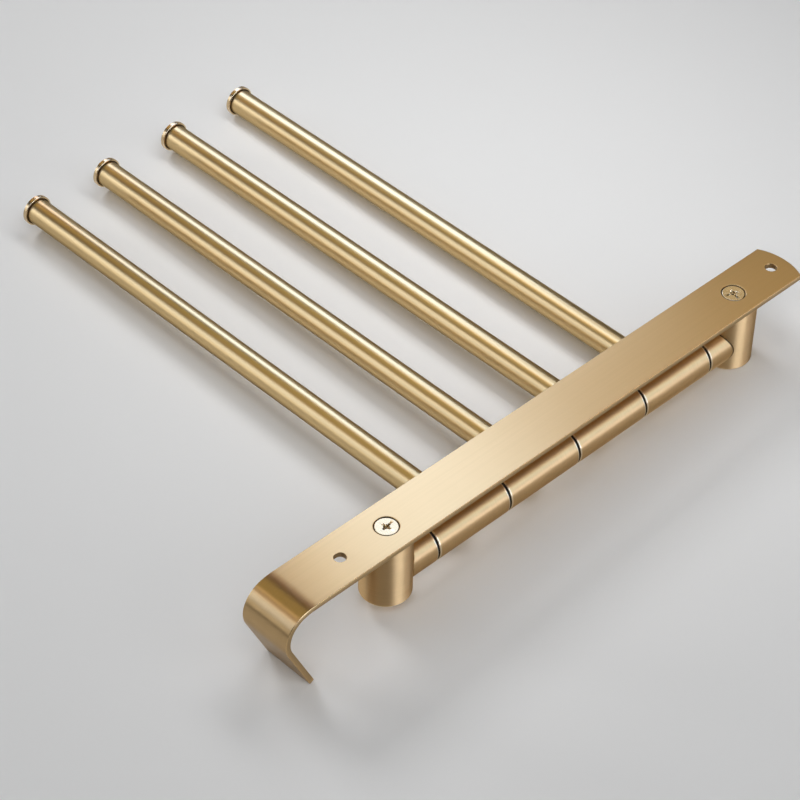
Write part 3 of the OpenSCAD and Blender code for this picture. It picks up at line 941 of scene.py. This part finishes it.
def make_floor():
    """A flat pale sheet. Its underside is see-through, so views from the object's front pass through it, and
    so is its top, except beside the hook, for steep mirrored rays from close by: faces turned to the table
    then mirror the pale surround and not their own shadow."""
    up = FLOOR_UP.normalized()
    side = up.cross(Vector((0, 0, 1))).normalized()
    ahead = side.cross(up)
    corners = [FLOOR_AT + (side * a + ahead * b) * FLOOR_HALF
               for a, b in ((-1, -1), (1, -1), (1, 1), (-1, 1))]
    mesh = bpy.data.meshes.new("floor")
    mesh.from_pydata([tuple(c) for c in corners], [], [(0, 1, 2, 3)])
    if mesh.polygons[0].normal.dot(up) < 0:
        mesh.flip_normals()
    floor = new_object("floor", mesh)
    material, tree, shader = new_material("pale floor")
    place = added(tree, "TexCoord").outputs["Object"]
    tone = noise(tree, place, FLOOR_CLOUDS, detail=2, roughness=0.5)
    grain = noise(tree, place, FLOOR_GRAIN, detail=2, roughness=0.6)
    bump = added(tree, "Bump", {"Height": grain, "Strength": 0.1, "Distance": 0.05 * MM})
    fill(tree, shader, {"Base Color": blended(tree, tone, (*FLOOR_TONE_LOW, 1), (*FLOOR_TONE_HIGH, 1)),
                        "Roughness": 0.8, "Specular IOR Level": 0.0, "Normal": bump.outputs[0]})
    path = added(tree, "LightPath")
    slant = added(tree, "LayerWeight", {"Blend": 0.5}).outputs["Facing"]
    short = remapped(tree, path.outputs["Ray Length"], 1.0, 0.0, NEAR_FLOOR, FAR_FROM_FLOOR)
    steep = remapped(tree, slant, 1.0, 0.0, PASS_STEEP, STOP_SLANTED)
    height = added(tree, "SeparateXYZ", {0: place}).outputs[2]
    beyond = calculate(tree, "GREATER_THAN", height, PASS_ABOVE)
    near = calculate(tree, "MULTIPLY", beyond, calculate(tree, "MULTIPLY", short, steep))
    mirrored = calculate(tree, "MULTIPLY", path.outputs["Is Glossy Ray"], near)
    behind = added(tree, "NewGeometry").outputs["Backfacing"]
    mix = added(tree, "MixShader", {0: calculate(tree, "MAXIMUM", behind, mirrored), 1: shader.outputs[0],
                                    2: added(tree, "BsdfTransparent").outputs[0]})
    fill(tree, tree.nodes["Material Output"], {"Surface": mix.outputs[0]})
    mesh.materials.append(material)


# The studio. The gold mirrors one set of soft lamps, and another lights the table. Flat lamps hang face
# down at a height y, as (name, x, z, width, depth, light). Standing lamps face the table's middle from a
# distance, as (name, bearing from +X toward +Z, height angle, width, height, light), with the angles in
# degrees. Light is a colour times a brightness.
TABLE_CENTRE = Vector((0.10, -0.03, -0.01))
MIRRORED_FLAT_Y = 0.30
MIRRORED_FLAT = [
    ("lamp over the hook", 0.125, 0.12275, 0.35, 0.1395, (1.24, 1.53, 2.19)),
    ("warm edge over the hook", 0.20, 0.043, 0.25, 0.020, (1.75, 1.68, 1.22)),
    ("dim strip over the bend", 0.215, 0.0005, 0.17, 0.065, (0.20, 0.06, 0.01)),
    ("strip over the arms", 0.46, 0.27, 0.32, 0.30, (1.97, 2.62, 4.07)),
    ("lamp past the caps", 0.74, 0.10, 0.24, 0.45, (1.95, 1.25, 0.60)),
    ("lamp over the top end", 0.10, 0.34, 0.40, 0.30, (0.56, 0.49, 0.34)),
    ("lamp before the hook", 0.20, -0.31, 0.42, 0.14, (0.47, 0.40, 0.33)),
    ("lamp before the bend", 0.17, -0.36, 0.16, 0.13, (1.10, 0.95, 0.75)),
]
MIRRORED_STANDING_R = 1.6
MIRRORED_STANDING = [
    ("low strip beside the posts", 180, 7, 1.05, 0.38, (4.78, 5.28, 6.92)),
    ("box beside the posts", 172, 28, 0.90, 0.60, (3.00, 3.87, 5.04)),
    ("box behind the posts", 142, 14, 0.60, 0.34, (0.92, 1.64, 2.80)),
    ("high box behind the posts", 140, 32, 0.60, 0.60, (1.80, 1.28, 1.00)),
    ("low box behind the arms", 52, 13, 0.60, 0.34, (0.44, 0.41, 0.39)),
    ("low box before the arms", 304, 8, 0.60, 0.40, (1.23, 1.24, 1.24)),
    ("box before the arms", 306, 29, 0.60, 0.75, (1.18, 1.36, 1.73)),
    ("low box past the caps", 330, 14, 0.60, 0.60, (2.40, 2.58, 2.95)),
    ("high fill", 345, 62, 1.00, 0.90, (0.42, 0.36, 0.17)),
]
TABLE_FLAT_Y = 0.32
TABLE_FLAT = [("table lamp overhead", 0.125, 0.114, 0.35, 0.157, (2.62, 2.61, 2.60))]
TABLE_STANDING_R = 1.62
TABLE_STANDING = [
    ("table lamp beside the posts", 172, 28, 0.90, 0.60, (1.19, 1.19, 1.19)),
    ("table lamp past the caps", 330, 14, 0.35, 0.35, (6.20, 6.20, 6.20)),
    ("table lamp beyond the arms", 0, 42, 0.60, 0.45, (6.75, 6.75, 6.75)),
    ("table lamp before the posts", 225, 50, 1.20, 0.90, (2.04, 2.04, 2.04)),
]
LAMP_POWER = 4
ROOM_R = 2.4
ROOM_FROM = -0.12
ROOM_ROWS = 13
ROOM_COLUMNS = 37
ROOM_TONE = (0.009, 0.008, 0.007)
SURROUND = (0.74, 0.74, 0.74)


def softbox(name, at, ahead, width, height, light, mirrored):
    """A rectangular lamp that shines along ahead, with its width level. Its power is LAMP_POWER times its
    brightness and area, at which its face shows that brightness. A mirrored one shows in shiny surfaces
    only, and any other lights dull surfaces only."""
    across = ahead.cross(Vector((0, 1, 0)))
    across = across.normalized() if across.length > TINY else Vector((1, 0, 0))
    brightness = max(light)
    data = bpy.data.lights.new(name, "AREA")
    data.shape = "RECTANGLE"
    data.size = width
    data.size_y = height
    data.energy = LAMP_POWER * brightness * width * height
    data.color = [part / brightness for part in light]
    lamp = new_object(name, data)
    axes = Matrix((across, across.cross(ahead), -ahead)).transposed().to_4x4()
    lamp.matrix_world = Matrix.Translation(at) @ axes
    lamp.visible_camera = False
    lamp.visible_glossy = mirrored
    lamp.visible_diffuse = not mirrored


def bearing(turn, rise):
    """The unit direction at an angle turn from +X toward +Z, and rise above the table."""
    turn, rise = math.radians(turn), math.radians(rise)
    return Vector((math.cos(rise) * math.cos(turn), math.sin(rise), math.cos(rise) * math.sin(turn)))


def place_lamps():
    """Hangs the flat lamps face down and stands the others round the table."""
    for height, lamps, mirrored in ((MIRRORED_FLAT_Y, MIRRORED_FLAT, True),
                                    (TABLE_FLAT_Y, TABLE_FLAT, False)):
        for name, x, z, width, depth, light in lamps:
            softbox(name, Vector((x, height, z)), Vector((0, -1, 0)), width, depth, light, mirrored)
    for away, lamps, mirrored in ((MIRRORED_STANDING_R, MIRRORED_STANDING, True),
                                  (TABLE_STANDING_R, TABLE_STANDING, False)):
        for name, turn, rise, width, height, light in lamps:
            out = bearing(turn, rise)
            softbox(name, TABLE_CENTRE + out * away, -out, width, height, light, mirrored)


def make_room():
    """Dim walls round the table and a pale surround behind them. The walls are a dome of radius ROOM_R, from
    the angle ROOM_FROM below the table to its top: R * (cos e cos t, sin e, cos e sin t)."""
    rise, turn = np.meshgrid(np.linspace(ROOM_FROM, np.pi / 2, ROOM_ROWS),
                             np.linspace(0, 2 * np.pi, ROOM_COLUMNS), indexing="ij")
    points = paired(np.cos(rise) * np.cos(turn), np.sin(rise), np.cos(rise) * np.sin(turn)) * ROOM_R
    mesh = bpy.data.meshes.new("room")
    mesh.from_pydata(points.reshape(-1, 3), [], grid_quads(ROOM_ROWS, ROOM_COLUMNS, 0))
    room = new_object("room", mesh)
    material, tree, _ = new_material("dim room walls")
    glow = added(tree, "Emission", {"Color": (*ROOM_TONE, 1), "Strength": 1.0})
    fill(tree, tree.nodes["Material Output"], {"Surface": glow.outputs[0]})
    mesh.materials.append(material)
    room.visible_camera = False
    world = bpy.data.worlds.new("studio")
    bpy.context.scene.world = world
    world.use_nodes = True
    fill(world.node_tree, world.node_tree.nodes["Background"], {"Color": (*SURROUND, 1), "Strength": 1.0})


set_camera()
make_floor()
make_room()
place_lamps()

bpy.context.scene.view_settings.view_transform = "Standard"
